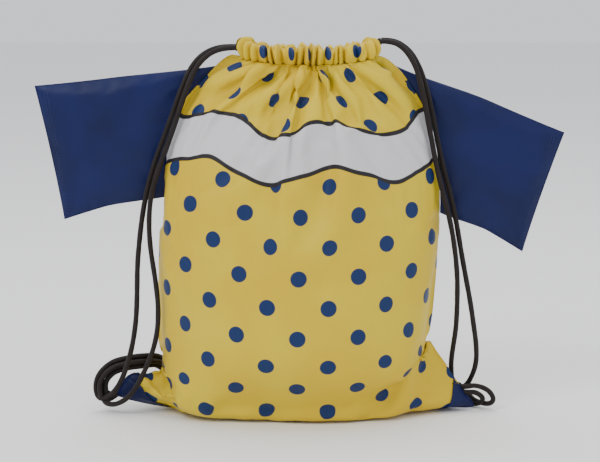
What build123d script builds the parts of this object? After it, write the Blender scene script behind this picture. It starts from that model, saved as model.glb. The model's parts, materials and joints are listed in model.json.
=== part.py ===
"""A drawstring backpack cut like a T-shirt, standing filled with its mouth drawn shut.

-Y is the printed front, +X is to the right as one faces it, +Z is up. The origin is on the floor,
under the middle of the whole object. The seam between front and back lies in the plane y = 0.
"""
from build123d import *
import math
import os

# The bag's filled shape, in millimetres.
CLOTH = 1.2  # what stands for one layer of cloth and its seam
HEM_FLOOR = 341.0  # height where the shoulders end and the tunnel hem begins
HEM_TALL = 21.0
HEM_CENTRE = 8.0  # the drawn-up mouth sits a little off the middle
HEM_STRAIGHT = 108.0  # between the centres of the hem's two round ends
HEM_OUTER = 14.0  # radius of a round end, and half the hem's depth
HEM_INNER = 5.0  # half the width of the mouth slit
CORD = 5.0  # diameter of the braided cord
TUNNEL_RADIUS = 9.5  # the cords run along the hem this far from its middle line
TUNNEL_ROOM = 0.6  # clearance round a cord in the tunnel
LEFT_CORD_HEIGHT = 348.5
RIGHT_CORD_HEIGHT = 354.5

# Stations up the filled body: height, centre in x, half width, half depth.
BODY_STATIONS = [
    (0, -5, 112, 60),
    (14, -5, 120, 73),
    (45, -5.5, 123.5, 79),
    (109, -6, 125, 80),
    (157, -2, 132.5, 77),
    (205, -2, 137, 71),
    (243, -1, 129.5, 65),
    (272, 1, 120, 58),
    (300, 2, 110, 47),
    (325, 2, 98, 32),
    (336, 4, 86, 21),
    (HEM_FLOOR, HEM_CENTRE, 67, 13.5),
]

# Bottom corners, as triangles across x: place along x, half width at the floor, floor, top.
LEFT_CORNER = [(-112, 34, 0, 42), (-132, 13, 0, 38), (-153, 5, 4, 36), (-175, 1.5, 14, 24)]
RIGHT_CORNER = [(98, 44, 0, 92), (129, 26, 0, 59), (152, 11, 0, 28), (167, 2, 0, 7)]
# Where yellow cloth ends and the navy corner begins: a circle seen from the front, x, z, radius.
LEFT_PATCH_EDGE = (-117, 27, 35)
RIGHT_PATCH_EDGE = (77.4, 83.6, 93)

# Sleeves, seen from the front, as x and z.
LEFT_SLEEVE = {"root_top": (-101, 331), "tip_top": (-248, 312), "cuff": (-232.5, 251),
               "tip_bottom": (-222.5, 188), "root_bottom": (-146, 211)}
RIGHT_SLEEVE = {"root_top": (108, 331), "tip_top": (248, 268), "cuff": (226, 215),
                "tip_bottom": (211.5, 157), "root_bottom": (146, 195)}
SLEEVE_PUFF = 8.0  # how far the middle of a sleeve layer stands out from the seam plane
SLEEVE_CROWN = 0.42  # size of the raised middle, as a share of the sleeve

# Where the free cords run, from the hem to the tied bundle at each corner.
LEFT_INNER_ROUTE = [
    (-60, -9.5, 348.5), (-70, -9.5, 348.5), (-82, -10.5, 344.5), (-92, -12, 336.5),
    (-99.5, -14.5, 325), (-105.5, -18, 310), (-113, -21, 288), (-121, -22, 264),
    (-130.5, -21.5, 240), (-138.5, -19.5, 216), (-141.5, -19, 190), (-140.5, -20, 163),
    (-136, -22, 135), (-132.8, -25, 108), (-134, -25, 82), (-140, -23, 60),
    (-147.5, -21, 43), (-154.5, -20, 29), (-164, -18, 16.5), (-176, -13, 9.5), (-185, -8, 9.5),
]
LEFT_OUTER_ROUTE = [
    (-60, 9.5, 348.5), (-70, 9.5, 348.5), (-82, 6.5, 346.5), (-92.5, 0.5, 340.5), (-101, -5.5, 331),
    (-108, -10, 316), (-116, -12, 295), (-124.5, -13, 271), (-134, -13, 247),
    (-141.5, -12.5, 223), (-147, -12, 198), (-150.5, -13, 172), (-153, -14, 146),
    (-153.5, -15, 119), (-154.5, -15.5, 94), (-158, -16, 70), (-163, -15.5, 51),
    (-168, -15, 37), (-174.5, -13, 25), (-182, -9, 16.5),
]
RIGHT_INNER_ROUTE = [
    (76, -9.5, 354.5), (86, -9.5, 354.5), (96, -11.5, 348.5), (104, -14, 338), (109.5, -16.5, 325),
    (114.5, -19.5, 304), (119, -22, 280), (123.5, -23, 256), (128.5, -23, 232),
    (135, -21, 208), (141, -18.5, 185), (145.5, -16, 160), (148.4, -13, 133), (148.8, -9, 106),
    (148.4, -3, 82), (146.5, 6, 62), (145.5, 16, 46), (146.5, 25, 33), (148, 32, 20),
]
RIGHT_OUTER_ROUTE = [
    (76, 9.5, 354.5), (86, 9.5, 354.5), (97, 5.5, 350), (106, -1, 340.5), (112.5, -7, 327.5),
    (118.5, -11, 308), (124, -12.5, 284), (128.5, -13, 260), (134, -13, 236),
    (141, -12.5, 211), (146.5, -12, 187), (151, -11, 161), (156, -8, 135), (161.5, -4, 108),
    (165.5, 1, 84), (169, 7, 62), (169.5, 13, 44), (166, 19, 30), (161, 24, 19),
]
# The surplus of both strands, folded to and fro into one bundle: its middle line and its radius.
LEFT_BUNDLE_ROUTE = [
    (-189, -3, 13), (-192, 0, 29), (-181, 2, 42.5), (-163, 4, 47), (-146, 9, 47.5),
    (-136, 25, 45), (-127, 44, 34), (-113, 62, 17), (-95, 76, 9.5),
]
RIGHT_BUNDLE_ROUTE = [
    (177, 10, 11), (163, 24, 11), (147, 38, 10.5), (128, 53, 10), (108, 66, 9.5), (86, 77, 9.5),
]
BUNDLE_RADIUS = 8.5

# Loop tabs behind the bottom corners, and the knots that hold the cord ends in them.
TAB_WIDE = 12.0
TAB_HOLE = (9.0, 12.0)  # depth and height of the opening, filled by two cords
LEFT_TAB = (-156, 1.9, 22, 8)  # the middle of the loop's foot, and its turn about z in degrees
RIGHT_TAB = (146, 7.0, 20, -31)
CORDS_IN_TAB = 5.5  # how far the two cords pass behind the foot
KNOT_AWAY = 18.0  # from the tab to the knot, towards the bag's middle
KNOT_LIFT = 8.5
KNOT_RADIUS = 7.0
TAIL_LONG = 12.0


def section(height, centre, half_width, half_depth):
    """One level ellipse of the body."""
    return Plane.XY.offset(height) * Pos(centre, 0) * Ellipse(half_width, half_depth)


def body_outside():
    return loft([section(*s) for s in BODY_STATIONS])


def body_inside():
    """The hollow, one cloth thickness in from the outside all round, and open at the top."""
    floor, *middle, top = BODY_STATIONS
    lower = [(floor[0] + CLOTH, *floor[1:])] + middle
    levels = [(h - (CLOTH if h > 280 else 0), c, w - 1.4 * CLOTH, d - 1.2 * CLOTH) for h, c, w, d in lower]
    levels.append((top[0], top[1], top[2] - 3 * CLOTH, top[3] - 2 * CLOTH))
    return loft([section(*s) for s in levels])


def corner_triangle(x, half_width, floor, top):
    """One slice across a bottom corner: flat below, with a ridge where the side seam runs."""
    return Plane.YZ.offset(x) * make_face(
        Polyline((-half_width, floor), (half_width, floor), (0, top), close=True))


def corner(stations):
    return loft([corner_triangle(*s) for s in stations], ruled=True)


def patch_tool(edge, outer_x):
    """Everything beyond the curved edge of a corner patch, towards outer_x."""
    x, z, radius = edge
    reach = abs(outer_x - x)
    block = Pos((x + outer_x) / 2, 0, 40) * Box(reach, 160, 160)
    return block - Pos(x, 0, z) * Rot(90, 0, 0) * Cylinder(radius, 200)


def half_space(side):
    """Front (-1) or back (+1) of the seam plane."""
    return Pos(0, side * 200, 200) * Box(700, 400, 500)


def sleeve_outline(points, size=1.0):
    """A sleeve seen from the front, shrunk about its middle to the given share of its size."""
    middle = sum((Vector(x, z) for x, z in points.values()), Vector()) / len(points)
    p = {name: middle + (Vector(x, z) - middle) * size for name, (x, z) in points.items()}
    return make_face([
        Line(p["root_top"], p["tip_top"]),
        ThreePointArc(p["tip_top"], p["cuff"], p["tip_bottom"]),
        Line(p["tip_bottom"], p["root_bottom"]),
        Line(p["root_bottom"], p["root_top"]),
    ])


def sleeve_layer(points, side):
    """One cloth layer of a sleeve: a flat rim round a raised middle."""
    plane = Plane(origin=(0, 0, 0), x_dir=(1, 0, 0), z_dir=(0, -1, 0))
    rim = extrude(plane * sleeve_outline(points), -side * CLOTH)
    crown = loft([
        plane.offset(-side * CLOTH) * sleeve_outline(points),
        plane.offset(-side * SLEEVE_PUFF) * sleeve_outline(points, SLEEVE_CROWN),
    ], ruled=True)
    return rim + crown


def slot_prism(radius, low, high):
    """A round-ended block as long as the hem, from one height to another."""
    flat = Pos(HEM_CENTRE, 0) * SlotOverall(HEM_STRAIGHT + 2 * radius, 2 * radius)
    return extrude(Plane.XY.offset(low) * flat, high - low)


def hem():
    """The gathered tunnel hem: a ring round the mouth, hollow where both cords run."""
    ring = slot_prism(HEM_OUTER, HEM_FLOOR, HEM_FLOOR + HEM_TALL) - slot_prism(
        HEM_INNER, HEM_FLOOR - 1, HEM_FLOOR + HEM_TALL + 1)
    reach = CORD / 2 + TUNNEL_ROOM
    low, high = LEFT_CORD_HEIGHT - reach, RIGHT_CORD_HEIGHT + reach
    tunnel = slot_prism(TUNNEL_RADIUS + reach, low, high) - slot_prism(TUNNEL_RADIUS - reach, low, high)
    ring -= tunnel
    for end, height in ((-1, LEFT_CORD_HEIGHT), (1, RIGHT_CORD_HEIGHT)):
        x = HEM_CENTRE + end * (HEM_STRAIGHT / 2 + HEM_OUTER / 2)
        for side in (-1, 1):
            ring -= Pos(x, side * TUNNEL_RADIUS, height) * Rot(0, 90, 0) * Cylinder(
                CORD / 2 + TUNNEL_ROOM, 2 * HEM_OUTER)
    return ring


def swept(path, radius):
    """A round bar of the given radius along a path."""
    start = Plane(origin=path @ 0, z_dir=path % 0)
    return sweep(start * Circle(radius), path=path)


def hidden_cord(end, height):
    """A cord's stretch inside the hem: out along the back, round the far end, home along the front."""
    near = HEM_CENTRE + end * (HEM_STRAIGHT / 2 + HEM_OUTER)
    far = HEM_CENTRE - end * HEM_STRAIGHT / 2
    turn = far - end * TUNNEL_RADIUS
    path = Wire([
        Edge.make_line((near, -TUNNEL_RADIUS, height), (far, -TUNNEL_RADIUS, height)),
        Edge.make_three_point_arc((far, -TUNNEL_RADIUS, height), (turn, 0, height),
                                  (far, TUNNEL_RADIUS, height)),
        Edge.make_line((far, TUNNEL_RADIUS, height), (near, TUNNEL_RADIUS, height)),
    ])
    return swept(path, CORD / 2)


def cord_path(points):
    """Straight runs joined by arcs, each arc as large as its two runs allow."""
    p = [Vector(*q) for q in points]
    radii = []
    for before, here, after in zip(p, p[1:], p[2:]):
        turn = math.radians((here - before).get_angle(after - here))
        shorter = min((here - before).length, (after - here).length)
        radii.append(0.45 * shorter / math.tan(turn / 2))
    return FilletPolyline(*p, radius=radii), radii


def cord_bar(name, points, radius):
    path, radii = cord_path(points)
    bar = swept(path, radius)
    share = bar.volume / (math.pi * radius**2 * path.length)
    print(f"{name}: length {path.length:.0f}, volume share {share:.3f}, tightest arc {min(radii):.1f}")
    return bar


def tab_strip():
    """A folded strip, made at its foot: x runs to the bag's middle, y away from the corner."""
    depth, height = TAB_HOLE
    low = -CLOTH * 4  # inside the corner, to be trimmed there
    outside = Pos(0, (low + depth + CLOTH) / 2, 0) * Box(
        TAB_WIDE, depth + CLOTH - low, height + 2 * CLOTH)
    outside = fillet(outside.edges().filter_by(Axis.X).group_by(Axis.Y)[-1], 3)
    window = Pos(0, (low + depth) / 2, 0) * Box(2 * TAB_WIDE, depth - low, height)
    return outside - window


def tied_ends():
    """Both ends of one cord, through the tab side by side and tied in one knot beyond it."""
    tied = Pos(KNOT_AWAY, KNOT_LIFT, 0) * Sphere(KNOT_RADIUS)
    through = KNOT_AWAY + TAB_WIDE / 2 + 4
    for shift in (-0.52 * CORD, 0.52 * CORD):
        in_tab = Pos(KNOT_AWAY - through / 2, CORDS_IN_TAB, shift) * Rot(0, 90, 0)
        below_knot = Pos(KNOT_AWAY + KNOT_RADIUS / 2 + shift, KNOT_LIFT, -KNOT_RADIUS / 2 - TAIL_LONG / 2)
        tied += in_tab * Cylinder(CORD / 2, through)
        tied += below_knot * Cylinder(CORD / 2, TAIL_LONG)
    return tied


def at_corner(shape, foot):
    """Move a shape from the tab's own axes to its place behind a bottom corner."""
    x, y, z, turn = foot
    if x > 0:
        shape = mirror(shape, about=Plane.YZ)
    return Pos(x, y, z) * Rot(0, 0, turn) * shape


def panel(side, shell, corners):
    """Front or back of the bag, with its share of both bottom corners."""
    return ((shell + corners) & half_space(side)) - body_inside()


def parts():
    shell = body_outside()
    left, right = corner(LEFT_CORNER), corner(RIGHT_CORNER)
    left_navy = (left & patch_tool(LEFT_PATCH_EDGE, -200)) - shell
    right_navy = (right & patch_tool(RIGHT_PATCH_EDGE, 200)) - shell
    yellow_corners = (left - left_navy) + (right - right_navy)
    ring = hem()
    made = {}
    for side, name in ((-1, "front"), (1, "back")):
        made[f"{name}_panel"] = panel(side, shell, yellow_corners)
        made[f"{name}_hem"] = ring & half_space(side)
        made[f"left_corner_patch_{name}"] = left_navy & half_space(side)
        made[f"right_corner_patch_{name}"] = right_navy & half_space(side)
        made[f"left_sleeve_{name}"] = sleeve_layer(LEFT_SLEEVE, side)
        made[f"right_sleeve_{name}"] = sleeve_layer(RIGHT_SLEEVE, side)
    made["left_cord_in_hem"] = hidden_cord(-1, LEFT_CORD_HEIGHT)
    made["right_cord_in_hem"] = hidden_cord(1, RIGHT_CORD_HEIGHT)
    routes = {
        "left_cord_inner_strand": LEFT_INNER_ROUTE,
        "left_cord_outer_strand": LEFT_OUTER_ROUTE,
        "right_cord_inner_strand": RIGHT_INNER_ROUTE,
        "right_cord_outer_strand": RIGHT_OUTER_ROUTE,
    }
    for name, points in routes.items():
        made[name] = cord_bar(name, points, CORD / 2)
    made["left_cord_bundle"] = cord_bar("left_cord_bundle", LEFT_BUNDLE_ROUTE, BUNDLE_RADIUS)
    made["right_cord_bundle"] = cord_bar("right_cord_bundle", RIGHT_BUNDLE_ROUTE, BUNDLE_RADIUS)
    for side, foot, ear in (("left", LEFT_TAB, left), ("right", RIGHT_TAB, right)):
        made[f"{side}_loop_tab"] = (at_corner(tab_strip(), foot) & half_space(1)) - ear
        made[f"{side}_cord_knot"] = at_corner(tied_ends(), foot)
    return made


os.makedirs("parts", exist_ok=True)
for node, shape in parts().items():
    export_step(shape, f"parts/{node}.step")
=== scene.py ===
"""The looks of a drawstring sack cut like a short-sleeved shirt: simulated cloth, braided cords, stitching.

The cloth is cut flat, filled and gathered by a cloth simulation, and its print follows the flat cut.
"""
import json
import math

import bpy
import numpy as np
from mathutils import Matrix, Vector, noise


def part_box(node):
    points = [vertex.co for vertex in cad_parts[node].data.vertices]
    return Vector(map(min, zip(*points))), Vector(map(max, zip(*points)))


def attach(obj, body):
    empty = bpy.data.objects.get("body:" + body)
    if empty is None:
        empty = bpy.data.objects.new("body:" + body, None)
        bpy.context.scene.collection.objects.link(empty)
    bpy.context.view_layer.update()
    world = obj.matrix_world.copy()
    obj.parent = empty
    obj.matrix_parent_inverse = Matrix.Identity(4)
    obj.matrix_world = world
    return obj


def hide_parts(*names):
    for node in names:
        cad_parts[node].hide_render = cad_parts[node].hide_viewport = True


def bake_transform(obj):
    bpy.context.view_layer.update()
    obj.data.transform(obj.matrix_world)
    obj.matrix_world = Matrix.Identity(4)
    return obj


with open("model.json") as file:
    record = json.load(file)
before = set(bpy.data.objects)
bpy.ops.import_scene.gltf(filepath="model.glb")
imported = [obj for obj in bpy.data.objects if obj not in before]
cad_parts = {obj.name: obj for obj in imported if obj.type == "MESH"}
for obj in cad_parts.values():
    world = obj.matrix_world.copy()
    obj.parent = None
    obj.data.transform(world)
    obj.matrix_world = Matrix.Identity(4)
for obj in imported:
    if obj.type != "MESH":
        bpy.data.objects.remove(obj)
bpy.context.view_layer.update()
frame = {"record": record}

MM = 0.001
TAU = 2 * math.pi

# The flat cut, in metres: one rectangle each for front and back, to the foot of the tunnel hem.
CUT_WIDE = 0.340
CUT_TALL = 0.425
CELL = 0.005
CLOTH_THICK = 0.0004

# The gathered mouth.
HEM_LOW, HEM_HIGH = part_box("front_hem")
MOUTH_X = (HEM_LOW[0] + HEM_HIGH[0]) / 2
MOUTH_RADIUS = 0.0172
MOUTH_STRAIGHT = HEM_HIGH[0] - HEM_LOW[0] - 0.041
MOUTH_Z = HEM_LOW[2]
MOUTH_DIP = 0.008
PLEATS = 20
PLEAT_DEEP = 0.0046
GATHER_POWER = 1.35
TUNNEL_ENDS = (0.055, 0.945)
TUNNEL_TALL = 0.0160

# The filling that the cloth is drawn over, in millimetres: height, centre, half width, half depth.
FILLING = [
    (2, -5, 108, 68), (9, -5, 118, 79), (45, -5.5, 122, 83), (109, -6, 123.5, 82),
    (157, -2, 131, 77), (205, -2, 135, 70), (243, -1, 128, 63), (272, 1, 118, 54),
    (296, 2, 106, 41), (312, 3, 92, 26), (321, 5, 68, 12),
]
FILLING_SIDES = 48
FILL_FRAMES = 50
LAST_FRAME = 80

# Where points of the bottom corners end up: column and row from the corner in steps of CORNER_STEP, and
# the place in millimetres.
CORNER_STEP = 0.005
LEFT_CORNER_POINTS = [
    (0, 0, (-174, -2, 15)), (1, 1, (-170.5, -1, 18)), (0, 4, (-166.5, 3, 34)), (0, 12, (-133, 6, 41)),
]
RIGHT_CORNER_POINTS = [
    (0, 0, (167, 8, 3)), (1, 1, (162.5, 6, 6)), (0, 6, (151, 7, 28)), (0, 10, (140.5, 6, 44.5)),
    (0, 13, (131.5, 5, 57)), (0, 16, (124.5, 3, 70)),
]
EAR_GAP = 0.0022  # least room between front and back cloth, away from the seams
EAR_NEAR = 0.020  # cloth closer together than this lies on itself
CALM_FROM = 0.074  # the part of the cut, from the bottom up, that is smoothed
CALM_TO = 0.150
CALM_ROUNDS = 40
SEAM_WIDE = 0.0022  # how far a seam pinches the cloth, and how deep
SEAM_DEEP = 0.0007
FLOOR_GAP = 0.0002

# Points across and up the finished pieces.
PANEL_POINTS = (137, 171)
HEM_POINTS = (640, 40)
PATCH_POINTS = 34
SLEEVE_POINTS = 91

# Folds drawn on the front: x and height along the fold, how high and how wide, in millimetres.
FOLDS = [
    ([(-98, 312), (-60, 323), (-15, 335)], 3.8, 6.5),
    ([(-62, 290), (-20, 310), (3, 324), (17, 336)], 4.8, 7.0),
    ([(52, 280), (34, 291), (26, 310), (22, 330)], -3.4, 7.0),
    ([(52, 334), (80, 314), (113, 288)], 3.2, 6.0),
    ([(92, 338), (97, 328)], -5.0, 6.0),
    ([(88, 20), (97, 52), (106, 92)], 2.6, 10.0),
    ([(-121, 6), (-124, 40)], -3.5, 6.0),
    ([(124, 196), (131, 178)], -2.5, 11.0),
]


# ---------------------------------------------------------------- helpers

def link(name, mesh):
    """A new piece in the scene."""
    piece = bpy.data.objects.new(name, mesh)
    bpy.context.scene.collection.objects.link(piece)
    return piece


def grid_faces(rows, columns, flip=False, hidden=None):
    """The quads of a grid of points, without those whose corners are all hidden."""
    faces = []
    for j in range(rows - 1):
        for i in range(columns - 1):
            if hidden is not None and hidden[j:j + 2, i:i + 2].all():
                continue
            a = j * columns + i
            quad = (a, a + 1, a + columns + 1, a + columns)
            faces.append(quad[::-1] if flip else quad)
    return faces


def sheet_mesh(name, points, uvs, flip=False, hidden=None):
    """A sheet from a grid of points, with its flat cut as UV map 'cut' in metres."""
    rows, columns = points.shape[:2]
    mesh = bpy.data.meshes.new(name)
    faces = grid_faces(rows, columns, flip, hidden)
    mesh.from_pydata([tuple(p) for p in points.reshape(-1, 3)], [], faces)
    layer = mesh.uv_layers.new(name="cut")
    flat = uvs.reshape(-1, 2)
    index = np.empty(len(mesh.loops), int)
    mesh.loops.foreach_get("vertex_index", index)
    layer.data.foreach_set("uv", flat[index].astype(np.float32).ravel())
    mesh.shade_smooth()
    piece = link(name, mesh)
    if hidden is not None:
        drop_loose(piece)
    return piece


def select_only(*pieces):
    """Select these pieces, the first one active."""
    bpy.ops.object.select_all(action="DESELECT")
    for piece in pieces:
        piece.select_set(True)
    bpy.context.view_layer.objects.active = pieces[0]


def drop_loose(piece):
    """Delete the points that no face uses."""
    select_only(piece)
    bpy.ops.object.mode_set(mode="EDIT")
    bpy.ops.mesh.select_all(action="SELECT")
    bpy.ops.mesh.delete_loose()
    bpy.ops.object.mode_set(mode="OBJECT")


def thicken(piece, thickness, offset=-1):
    """Give a sheet its two faces: inwards from the given one, or outwards with offset 1."""
    solid = piece.modifiers.new("thickness", "SOLIDIFY")
    solid.thickness = thickness
    solid.offset = offset
    apply_modifiers(piece)


def apply_modifiers(piece):
    select_only(piece)
    for modifier in list(piece.modifiers):
        bpy.ops.object.modifier_apply(modifier=modifier.name)


def finish_piece(piece, body, slot, material, *nodes):
    """Give a piece its body and material, and hide the CAD nodes it stands for; slot is not used."""
    if body:
        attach(piece, body)
    if nodes:
        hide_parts(*nodes)
    piece.data.materials.clear()
    piece.data.materials.append(material)
    return piece


def smooth_step(t):
    """0 up to 0, 1 from 1 on, and smooth between."""
    t = np.clip(t, 0, 1)
    return t * t * (3 - 2 * t)


# ---------------------------------------------------------------- camera and light

def aim(thing, place, target):
    """Put a camera or a light at a place, turned to its target."""
    thing.location = place
    thing.rotation_euler = (Vector(target) - Vector(place)).to_track_quat("-Z", "Y").to_euler()
    bpy.context.scene.collection.objects.link(thing)


def make_camera():
    """A long lens, a little above the sack, straight in front of it."""
    eye_level = math.radians(9)
    distance = 1.9
    target = (0, 0, 0.175)
    camera = bpy.data.objects.new("camera", bpy.data.cameras.new("camera"))
    camera.data.lens = 120.6
    place = (0, -distance * math.cos(eye_level), target[2] + distance * math.sin(eye_level))
    aim(camera, place, target)
    bpy.context.scene.camera = camera


def make_lights():
    """A broad key, a weak fill, a soft light from above, and an even studio all round."""
    for name, place, size, watts in (
        ("key", (-1.1, -1.3, 1.7), 0.9, 20),
        ("fill", (1.5, -1.2, 1.0), 1.4, 5),
        ("top", (0.1, 0.5, 2.2), 1.6, 22),
    ):
        light = bpy.data.lights.new(name, "AREA")
        light.size = size
        light.energy = watts
        aim(bpy.data.objects.new(name, light), place, (0, 0, 0.15))
    world = bpy.data.worlds.new("studio")
    bpy.context.scene.world = world
    world.use_nodes = True
    world.node_tree.nodes["Background"].inputs["Color"].default_value = (0.95, 0.96, 1.0, 1)
    world.node_tree.nodes["Background"].inputs["Strength"].default_value = 1.0


def make_floor():
    """The pale table that the sack stands on, which isn't part of it."""
    bpy.ops.object.select_all(action="DESELECT")
    bpy.ops.mesh.primitive_plane_add(size=8, location=(0, 1.5, 0))
    floor = bpy.context.object
    floor.name = "floor"
    paper = new_material("pale_paper", (0.92, 0.92, 0.92), 0.8)
    floor.data.materials.append(paper)
    return floor


# ---------------------------------------------------------------- materials

def linear(*srgb):
    """0-255 screen values as linear light."""
    return tuple((c / 255 / 12.92) if c < 10.3 else ((c / 255 + 0.055) / 1.055) ** 2.4 for c in srgb)


def new_material(name, color, roughness):
    material = bpy.data.materials.new(name)
    material.use_nodes = True
    shader = material.node_tree.nodes["Principled BSDF"]
    shader.inputs["Base Color"].default_value = (*color, 1)
    shader.inputs["Roughness"].default_value = roughness
    return material


class Nodes:
    """Short ways to add nodes to one material."""

    def __init__(self, material):
        self.tree = material.node_tree
        self.shader = self.tree.nodes["Principled BSDF"]

    def add(self, kind, **settings):
        node = self.tree.nodes.new(kind)
        for key, value in settings.items():
            setattr(node, key, value)
        return node

    def join(self, source, socket):
        if isinstance(source, (int, float)):
            socket.default_value = source
        else:
            self.tree.links.new(source, socket)

    def math(self, operation, a, b=0.0, c=0.0):
        node = self.add("ShaderNodeMath", operation=operation)
        for source, socket in zip((a, b, c), node.inputs):
            self.join(source, socket)
        return node.outputs[0]

    def mix(self, share, a, b):
        node = self.add("ShaderNodeMix", data_type="RGBA")
        self.join(share, node.inputs["Factor"])
        for source, socket in ((a, node.inputs["A"]), (b, node.inputs["B"])):
            if isinstance(source, tuple):
                socket.default_value = (*source, 1)
            else:
                self.tree.links.new(source, socket)
        return node.outputs["Result"]

    def noise(self, vector, scale, detail=2.0, roughness=0.5):
        node = self.add("ShaderNodeTexNoise")
        self.join(vector, node.inputs["Vector"])
        node.inputs["Scale"].default_value = scale
        node.inputs["Detail"].default_value = detail
        node.inputs["Roughness"].default_value = roughness
        return node.outputs["Fac"]

    def edge(self, value, low, high):
        """0 below low, 1 above high, smooth between."""
        node = self.add("ShaderNodeMapRange", interpolation_type="SMOOTHSTEP")
        self.join(value, node.inputs["Value"])
        node.inputs["From Min"].default_value = low
        node.inputs["From Max"].default_value = high
        return node.outputs["Result"]

    def cut(self):
        """The two coordinates of the flat cut, in metres."""
        split = self.add("ShaderNodeSeparateXYZ")
        uv = self.add("ShaderNodeUVMap", uv_map="cut")
        self.tree.links.new(uv.outputs["UV"], split.inputs["Vector"])
        return uv.outputs["UV"], split.outputs["X"], split.outputs["Y"]

    def object_place(self):
        return self.add("ShaderNodeTexCoord").outputs["Object"]

    def bump(self, height, strength, distance, below=None):
        node = self.add("ShaderNodeBump")
        node.inputs["Strength"].default_value = strength
        node.inputs["Distance"].default_value = distance
        self.join(height, node.inputs["Height"])
        if below is not None:
            self.tree.links.new(below, node.inputs["Normal"])
        self.tree.links.new(node.outputs["Normal"], self.shader.inputs["Normal"])
        return node.outputs["Normal"]


# The cloth's weave and its print, in metres on the flat cut.
THREAD = 0.0006  # from one yarn of the plain weave to the next
DOT_PITCH = 2 * CUT_WIDE / 12
DOT_RADIUS = 0.0076
DOT_SHIFT = (0.031, 0.0125)
BAND_MIDDLE = 0.327
BAND_HALF = 0.0205
BAND_LINE = 0.0042
BAND_WAVE = 0.0085
BAND_WAVES = 5
BAND_SWELL = 0.0012
PRINT_BLUR = 0.0004
DOT_BLUR = 0.006  # as a share of the pitch

YELLOW = linear(212, 186, 36)
YELLOW_DEEP = linear(208, 174, 26)
DOT_BLUE = linear(16, 42, 88)
NAVY = linear(10, 24, 78)
NAVY_DEEP = linear(7, 17, 60)
PRINT_WHITE = linear(205, 204, 206)
PRINT_LINE = linear(36, 33, 36)
CORD_DARK = linear(20, 15, 14)
CORD_LIT = linear(44, 37, 35)
TAPE_DARK = linear(20, 20, 24)
TAPE_LIT = linear(46, 46, 52)
YELLOW_THREAD = linear(196, 158, 60)
NAVY_THREAD = linear(28, 44, 92)


def weave_height(n, u, v):
    """A plain weave: two sets of yarns, each over and under the other."""
    across = n.math("SINE", n.math("MULTIPLY", u, math.pi / THREAD))
    along = n.math("SINE", n.math("MULTIPLY", v, math.pi / THREAD))
    return n.math("MULTIPLY", across, along)


def dot_mask(n, u, v):
    """Round dots on two square grids, one set halfway between the other."""
    masks = []
    for half in (0.0, 0.5):
        parts = []
        for value, shift in ((u, DOT_SHIFT[0]), (v, DOT_SHIFT[1])):
            steps = n.math("MULTIPLY_ADD", value, 1 / DOT_PITCH, half - shift / DOT_PITCH)
            parts.append(n.math("SUBTRACT", n.math("FRACT", steps), 0.5))
        squares = [n.math("MULTIPLY", p, p) for p in parts]
        far = n.math("SQRT", n.math("ADD", *squares))
        ratio = DOT_RADIUS / DOT_PITCH
        masks.append(n.edge(far, ratio + DOT_BLUR, ratio - DOT_BLUR))
    return n.math("MAXIMUM", *masks)


def band_masks(n, u, v):
    """The wavy chest band and its outline: 1 inside each."""
    turn = n.math("MULTIPLY", u, TAU * BAND_WAVES / (2 * CUT_WIDE))
    wave = n.math("MULTIPLY", n.math("SINE", turn), BAND_WAVE)
    off = n.math("ABSOLUTE", n.math("SUBTRACT", n.math("SUBTRACT", v, BAND_MIDDLE), wave))
    swell = n.math("MULTIPLY", n.math("SINE", n.math("MULTIPLY", turn, 3)), BAND_SWELL)
    off = n.math("SUBTRACT", off, swell)
    return [n.edge(off, half + PRINT_BLUR, half - PRINT_BLUR) for half in (BAND_HALF, BAND_HALF + BAND_LINE)]


def yellow_cloth():
    """Thin coated cloth, printed with dots and, over them, the band and its outline."""
    material = new_material("yellow_cloth", YELLOW, 0.47)
    n = Nodes(material)
    uv, u, v = n.cut()
    cloud = n.noise(n.object_place(), 14, 3)
    ground = n.mix(n.edge(cloud, 0.3, 0.75), YELLOW, YELLOW_DEEP)
    dots = dot_mask(n, u, v)
    inside, outline = band_masks(n, u, v)
    color = n.mix(dots, ground, DOT_BLUE)
    color = n.mix(outline, color, PRINT_LINE)
    color = n.mix(inside, color, PRINT_WHITE)
    weave = weave_height(n, u, v)
    color = n.mix(n.math("MULTIPLY_ADD", weave, 0.035, 0.035), color, (0.04, 0.035, 0.02))
    n.join(color, n.shader.inputs["Base Color"])
    ink = n.math("MAXIMUM", outline, dots)
    rough = n.math("MULTIPLY_ADD", ink, -0.05, 0.47)
    n.join(n.math("MULTIPLY_ADD", cloud, 0.08, rough), n.shader.inputs["Roughness"])
    n.shader.inputs["Sheen Weight"].default_value = 0.05
    n.shader.inputs["Sheen Roughness"].default_value = 0.4
    n.shader.inputs["Specular IOR Level"].default_value = 0.2
    fine = n.bump(weave, 0.25, 0.0001)
    n.bump(n.noise(uv, 260, 2), 0.12, 0.0006, fine)
    return material


def navy_cloth():
    """The same cloth, dyed in one colour, a little smoother."""
    material = new_material("navy_cloth", NAVY, 0.42)
    n = Nodes(material)
    uv, u, v = n.cut()
    cloud = n.noise(n.object_place(), 18, 3)
    weave = weave_height(n, u, v)
    color = n.mix(n.edge(cloud, 0.3, 0.75), NAVY, NAVY_DEEP)
    color = n.mix(n.math("MULTIPLY_ADD", weave, 0.05, 0.05), color, (0.003, 0.005, 0.015))
    n.join(color, n.shader.inputs["Base Color"])
    n.join(n.math("MULTIPLY_ADD", cloud, 0.1, 0.37), n.shader.inputs["Roughness"])
    n.shader.inputs["Specular IOR Level"].default_value = 0.22
    n.shader.inputs["Sheen Weight"].default_value = 0.04
    n.shader.inputs["Sheen Roughness"].default_value = 0.35
    n.shader.inputs["Sheen Tint"].default_value = (0.45, 0.5, 0.8, 1)
    fine = n.bump(weave, 0.3, 0.0001)
    n.bump(n.noise(uv, 220, 2), 0.12, 0.0006, fine)
    return material


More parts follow.
